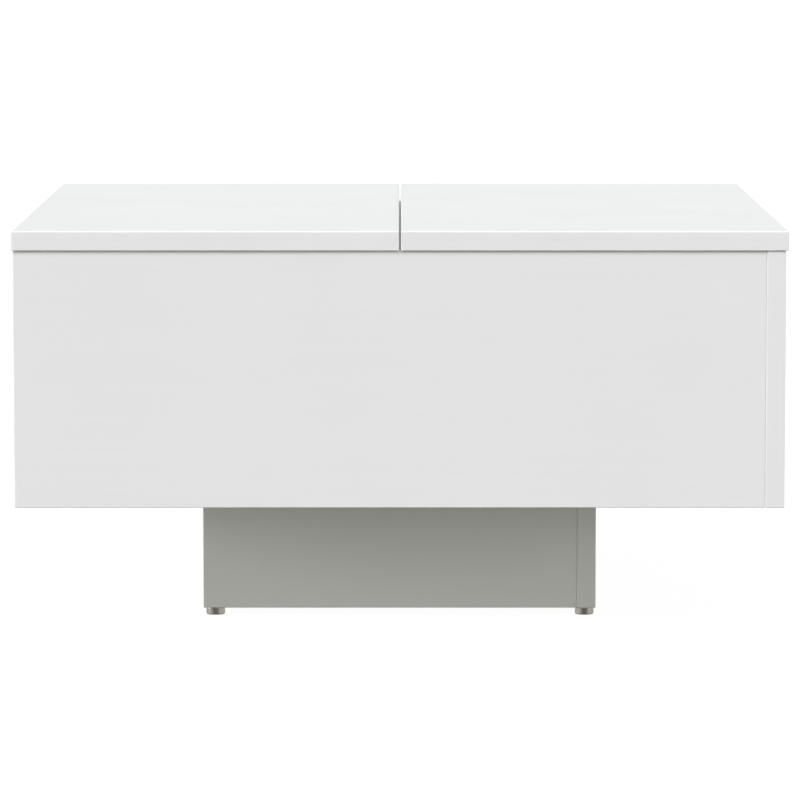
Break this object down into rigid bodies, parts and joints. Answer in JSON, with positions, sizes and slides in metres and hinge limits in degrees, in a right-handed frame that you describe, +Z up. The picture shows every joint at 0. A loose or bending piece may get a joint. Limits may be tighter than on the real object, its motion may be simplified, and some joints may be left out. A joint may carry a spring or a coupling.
{
  "type": "lift top coffee table",
  "caption": "Square white coffee table: a box of flat boards on a smaller plinth, under split lids that lift up and outwards on parallel steel arms over storage.",
  "frame": {"origin": "centre of the footprint, on the floor under the feet", "axes": "+Z up; the front, with its wide front wall, faces -Y; the slot between the lids runs along Y at x = 0"},
  "size_m": [0.6, 0.6, 0.32],
  "materials": {
    "white_board": "satin white melamine on particle board",
    "raw_wood": "raw pine",
    "nickel_steel": "nickel plated steel",
    "zinc_steel": "zinc plated sheet steel",
    "pin_steel": "turned bright steel",
    "spring_steel": "oiled spring wire"
  },
  "bodies": {
    "cabinet": {"bottom_panel": "white_board", "divider": "white_board", "wall_front": "white_board", "wall_right": "white_board", "wall_back": "white_board", "wall_left": "white_board", "plinth_front": "white_board", "plinth_right": "white_board", "plinth_back": "white_board", "plinth_left": "white_board", "corner_block_front_left": "raw_wood", "corner_block_front_right": "raw_wood", "corner_block_back_left": "raw_wood", "corner_block_back_right": "raw_wood", "foot_front_left": "nickel_steel", "foot_front_right": "nickel_steel", "foot_back_left": "nickel_steel", "foot_back_right": "nickel_steel", "left_front_base_bracket": "zinc_steel", "left_front_spring": "spring_steel", "left_front_outer_lower_pin": "pin_steel", "left_front_inner_lower_pin": "pin_steel", "left_back_base_bracket": "zinc_steel", "left_back_spring": "spring_steel", "left_back_outer_lower_pin": "pin_steel", "left_back_inner_lower_pin": "pin_steel", "right_front_base_bracket": "zinc_steel", "right_front_spring": "spring_steel", "right_front_outer_lower_pin": "pin_steel", "right_front_inner_lower_pin": "pin_steel", "right_back_base_bracket": "zinc_steel", "right_back_spring": "spring_steel", "right_back_outer_lower_pin": "pin_steel", "right_back_inner_lower_pin": "pin_steel"},
    "left_front_outer_arm": {"left_front_outer_arm": "zinc_steel"},
    "left_front_inner_arm": {"left_front_inner_arm": "zinc_steel"},
    "left_back_outer_arm": {"left_back_outer_arm": "zinc_steel"},
    "left_back_inner_arm": {"left_back_inner_arm": "zinc_steel"},
    "left_lid": {"lid_left": "white_board", "left_front_top_bracket": "zinc_steel", "left_front_outer_upper_pin": "pin_steel", "left_front_inner_upper_pin": "pin_steel", "left_back_top_bracket": "zinc_steel", "left_back_outer_upper_pin": "pin_steel", "left_back_inner_upper_pin": "pin_steel"},
    "right_front_outer_arm": {"right_front_outer_arm": "zinc_steel"},
    "right_front_inner_arm": {"right_front_inner_arm": "zinc_steel"},
    "right_back_outer_arm": {"right_back_outer_arm": "zinc_steel"},
    "right_back_inner_arm": {"right_back_inner_arm": "zinc_steel"},
    "right_lid": {"lid_right": "white_board", "right_front_top_bracket": "zinc_steel", "right_front_outer_upper_pin": "pin_steel", "right_front_inner_upper_pin": "pin_steel", "right_back_top_bracket": "zinc_steel", "right_back_outer_upper_pin": "pin_steel", "right_back_inner_upper_pin": "pin_steel"}
  },
  "joints": [
    {"name": "left_lift", "type": "hinge", "parent": "cabinet", "child": "left_front_outer_arm", "pos_m": [-0.24, -0.2765, 0.2493], "axis": [0, -1, 0], "range_deg": [0, 98]},
    {"name": "left_lid_level", "type": "hinge", "parent": "left_front_outer_arm", "child": "left_lid", "pos_m": [-0.08475, -0.2765, 0.28801], "axis": [0, -1, 0], "range_deg": [-98, 0]},
    {"name": "left_front_inner_swing", "type": "hinge", "parent": "cabinet", "child": "left_front_inner_arm", "pos_m": [-0.186, -0.2765, 0.2243], "axis": [0, -1, 0], "range_deg": [0, 98]},
    {"name": "left_back_outer_swing", "type": "hinge", "parent": "cabinet", "child": "left_back_outer_arm", "pos_m": [-0.24, 0.2765, 0.2493], "axis": [0, -1, 0], "range_deg": [0, 98]},
    {"name": "left_back_inner_swing", "type": "hinge", "parent": "cabinet", "child": "left_back_inner_arm", "pos_m": [-0.186, 0.2765, 0.2243], "axis": [0, -1, 0], "range_deg": [0, 98]},
    {"name": "right_lift", "type": "hinge", "parent": "cabinet", "child": "right_front_outer_arm", "pos_m": [0.24, -0.2765, 0.2493], "axis": [0, 1, 0], "range_deg": [0, 98]},
    {"name": "right_lid_level", "type": "hinge", "parent": "right_front_outer_arm", "child": "right_lid", "pos_m": [0.08475, -0.2765, 0.28801], "axis": [0, 1, 0], "range_deg": [-98, 0]},
    {"name": "right_front_inner_swing", "type": "hinge", "parent": "cabinet", "child": "right_front_inner_arm", "pos_m": [0.186, -0.2765, 0.2243], "axis": [0, 1, 0], "range_deg": [0, 98]},
    {"name": "right_back_outer_swing", "type": "hinge", "parent": "cabinet", "child": "right_back_outer_arm", "pos_m": [0.24, 0.2765, 0.2493], "axis": [0, 1, 0], "range_deg": [0, 98]},
    {"name": "right_back_inner_swing", "type": "hinge", "parent": "cabinet", "child": "right_back_inner_arm", "pos_m": [0.186, 0.2765, 0.2243], "axis": [0, 1, 0], "range_deg": [0, 98]}
  ],
  "couplings": [
    {"joint": "left_lid_level", "follows": "left_lift", "ratio": -1},
    {"joint": "left_front_inner_swing", "follows": "left_lift", "ratio": 1},
    {"joint": "left_back_outer_swing", "follows": "left_lift", "ratio": 1},
    {"joint": "left_back_inner_swing", "follows": "left_lift", "ratio": 1},
    {"joint": "right_lid_level", "follows": "right_lift", "ratio": -1},
    {"joint": "right_front_inner_swing", "follows": "right_lift", "ratio": 1},
    {"joint": "right_back_outer_swing", "follows": "right_lift", "ratio": 1},
    {"joint": "right_back_inner_swing", "follows": "right_lift", "ratio": 1}
  ]
}
